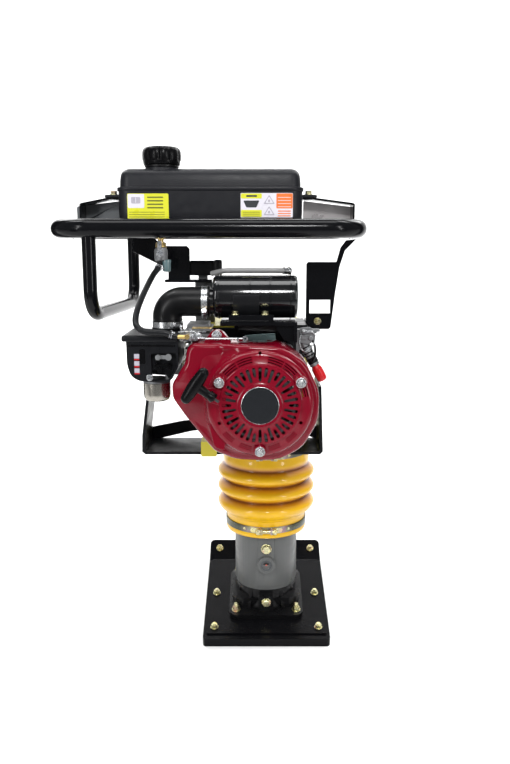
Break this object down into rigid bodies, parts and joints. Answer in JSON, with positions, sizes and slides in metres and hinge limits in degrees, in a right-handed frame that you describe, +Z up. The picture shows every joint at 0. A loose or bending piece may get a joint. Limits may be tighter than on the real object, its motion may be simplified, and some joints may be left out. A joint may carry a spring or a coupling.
{
  "type": "jumping jack rammer",
  "caption": "Upright soil rammer: a flat steel shoe under a leaning bellows leg, with a small recoil-start engine and a tank carried in a tubular handle loop.",
  "frame": {"origin": "on the floor under the shoe, where the leaning ram axis meets the sole", "axes": "+Z up, +Y toward the turned-up toe and the way the leg leans, +X to the right seen from the engine side"},
  "size_m": [0.652, 0.6879, 1.063],
  "materials": {
    "shoe_black": "gloss black enamel",
    "zinc_yellow": "yellow zinc plate",
    "foot_black": "gloss black enamel on a rough casting",
    "leg_gray": "satin gray paint",
    "sight_lens": "clear lens",
    "ground_steel": "ground steel",
    "spring_steel": "oiled spring steel",
    "bellows_yellow": "glossy moulded rubber",
    "clamp_zinc": "bright zinc strip",
    "case_yellow": "yellow paint on a casting",
    "bearing_steel": "polished bearing steel",
    "friction_iron": "dark iron with lining",
    "cast_aluminium": "as-cast aluminium",
    "plug_ceramic": "glazed ceramic",
    "muffler_steel": "heat-proof gray",
    "cover_red": "gloss crimson enamel",
    "black_plastic": "black moulded plastic",
    "bright_zinc": "bright zinc plate",
    "dark_zinc": "dark zinc plate",
    "button_red": "red plastic",
    "frame_black": "gloss black powder coat",
    "black_rubber": "black rubber",
    "tank_plastic": "satin dark gray plastic",
    "cock_brass": "cast brass and zinc"
  },
  "bodies": {
    "lower_unit": {"shoe_sole": "shoe_black", "shoe_top_plate": "shoe_black", "shoe_bolts": "zinc_yellow", "foot": "foot_black", "leg_bolts": "zinc_yellow", "leg_cylinder": "leg_gray", "sight_glass": "sight_lens", "spring_cylinder": "ground_steel", "spring_cap": "ground_steel", "lower_spring": "spring_steel", "upper_spring": "spring_steel", "bellows": "bellows_yellow", "lower_band_clamp": "clamp_zinc"},
    "upper_unit": {"upper_band_clamp": "clamp_zinc", "guide_cylinder": "ground_steel", "crankcase": "case_yellow", "crankcase_cover": "case_yellow", "crank_bearings": "bearing_steel", "engine_block": "cast_aluminium", "cylinder_head": "cast_aluminium", "spark_plug": "plug_ceramic", "muffler": "muffler_steel", "fan_cover": "cover_red", "recoil_cover": "cover_red", "cover_bolts": "bright_zinc", "zinc_bolts": "zinc_yellow", "carburettor": "cast_aluminium", "intake_box": "black_plastic", "switch_bracket": "dark_zinc", "air_canister": "black_plastic", "canister_bracket": "frame_black", "intake_elbow": "black_rubber", "hose_clamps": "clamp_zinc", "engine_guard": "frame_black", "handle_frame": "frame_black", "handle_brackets": "frame_black", "rubber_mounts": "black_rubber", "fuel_tank": "tank_plastic", "fuel_cock": "cock_brass", "fuel_hose": "black_rubber"},
    "ram_piston": {"ram_piston": "ground_steel"},
    "crank": {"crank_gear": "ground_steel"},
    "rod": {"connecting_rod": "ground_steel"},
    "drum": {"clutch_drum": "ground_steel"},
    "engine_shaft": {"crankshaft": "ground_steel", "flywheel": "cast_aluminium", "clutch_hub": "ground_steel"},
    "shoe_left": {"clutch_shoe_left": "friction_iron"},
    "shoe_right": {"clutch_shoe_right": "friction_iron"},
    "pulley": {"starter_pulley": "black_plastic"},
    "grip": {"starter_grip": "black_plastic"},
    "cap_gasket": {"cap_seal": "black_rubber"},
    "cap": {"fuel_cap": "black_plastic"},
    "cock_handle": {"cock_lever": "bright_zinc"},
    "choke": {"choke_lever": "bright_zinc"},
    "fuel_valve": {"fuel_valve_lever": "dark_zinc"},
    "throttle": {"throttle_lever": "dark_zinc"},
    "link": {"throttle_rod": "bright_zinc"},
    "button": {"stop_button": "button_red"}
  },
  "joints": [
    {"name": "ram_stroke", "type": "slide", "parent": "lower_unit", "child": "upper_unit", "axis": [0, 0.2113, 0.9774], "range_m": [-0.02, 0.03], "stiffness_N_per_m": 60000, "springref_m": 0.009, "deforming": ["bellows", "lower_spring", "upper_spring"]},
    {"name": "piston_slide", "type": "slide", "parent": "upper_unit", "child": "ram_piston", "axis": [0, 0.2113, 0.9774], "range_m": [-0.017, 0.017], "stiffness_N_per_m": 20000},
    {"name": "crank_spin", "type": "hinge", "parent": "upper_unit", "child": "crank", "pos_m": [0, 0.06826, 0.49553], "axis": [0, 0.9774, -0.2113], "continuous": true},
    {"name": "rod_swing", "type": "hinge", "parent": "crank", "child": "rod", "pos_m": [0, 0.10899, 0.50411], "axis": [0, 0.9774, -0.2113], "continuous": true},
    {"name": "pinion_spin", "type": "hinge", "parent": "upper_unit", "child": "drum", "pos_m": [-0.017, 0.06392, 0.57958], "axis": [0, 0.9774, -0.2113], "continuous": true},
    {"name": "engine_spin", "type": "hinge", "parent": "upper_unit", "child": "engine_shaft", "pos_m": [-0.017, -0.07291, 0.60917], "axis": [0, 0.9774, -0.2113], "continuous": true},
    {"name": "shoe_throw_left", "type": "slide", "parent": "engine_shaft", "child": "shoe_left", "axis": [-1, 0, 0], "range_m": [0, 0.0018], "stiffness_N_per_m": 4000, "springref_m": -0.002},
    {"name": "shoe_throw_right", "type": "slide", "parent": "engine_shaft", "child": "shoe_right", "axis": [1, 0, 0], "range_m": [0, 0.0018], "stiffness_N_per_m": 4000, "springref_m": -0.002},
    {"name": "starter_pull", "type": "slide", "parent": "upper_unit", "child": "grip", "axis": [-0.7849, -0.1166, 0.6086], "range_m": [0, 0.45], "stiffness_N_per_m": 30, "springref_m": -0.3},
    {"name": "pulley_spin", "type": "hinge", "parent": "upper_unit", "child": "pulley", "pos_m": [-0.017, -0.25276, 0.64805], "axis": [0, 0.9774, -0.2113], "range_deg": [0, 697.84]},
    {"name": "cap_lift", "type": "slide", "parent": "upper_unit", "child": "cap_gasket", "axis": [0, 0.2113, 0.9774], "range_m": [0, 0.07]},
    {"name": "cap_turn", "type": "hinge", "parent": "cap_gasket", "child": "cap", "pos_m": [-0.222, 0.1494, 1.03173], "axis": [0, 0.2113, 0.9774], "range_deg": [0, 90]},
    {"name": "cock_turn", "type": "hinge", "parent": "upper_unit", "child": "cock_handle", "pos_m": [-0.218, 0.01024, 0.86129], "axis": [0, 0.9774, -0.2113], "range_deg": [-90, 0]},
    {"name": "choke_turn", "type": "hinge", "parent": "upper_unit", "child": "choke", "pos_m": [-0.186, -0.18545, 0.7133], "axis": [0, 0.9774, -0.2113], "range_deg": [-25, 25]},
    {"name": "fuel_valve_turn", "type": "hinge", "parent": "upper_unit", "child": "fuel_valve", "pos_m": [-0.186, -0.19073, 0.68886], "axis": [0, 0.9774, -0.2113], "range_deg": [-25, 20]},
    {"name": "throttle_turn", "type": "hinge", "parent": "upper_unit", "child": "throttle", "pos_m": [-0.01, -0.17219, 0.74624], "axis": [0, 0.9774, -0.2113], "range_deg": [0, 18]},
    {"name": "link_swing", "type": "hinge", "parent": "throttle", "child": "link", "pos_m": [-0.044, -0.18587, 0.7492], "axis": [0, 0.9774, -0.2113], "range_deg": [-20, 0]},
    {"name": "stop_push", "type": "slide", "parent": "upper_unit", "child": "button", "axis": [-0.4726, 0.1862, 0.8614], "range_m": [0, 0.003], "stiffness_N_per_m": 800, "springref_m": -0.001}
  ],
  "couplings": [
    {"joint": "rod_swing", "follows": "crank_spin", "ratio": -1},
    {"joint": "pinion_spin", "follows": "crank_spin", "ratio": -5.3846},
    {"joint": "shoe_throw_right", "follows": "shoe_throw_left", "ratio": 1},
    {"joint": "pulley_spin", "follows": "starter_pull", "rad_per_m": 27.027},
    {"joint": "link_swing", "follows": "throttle_turn", "ratio": -1}
  ]
}
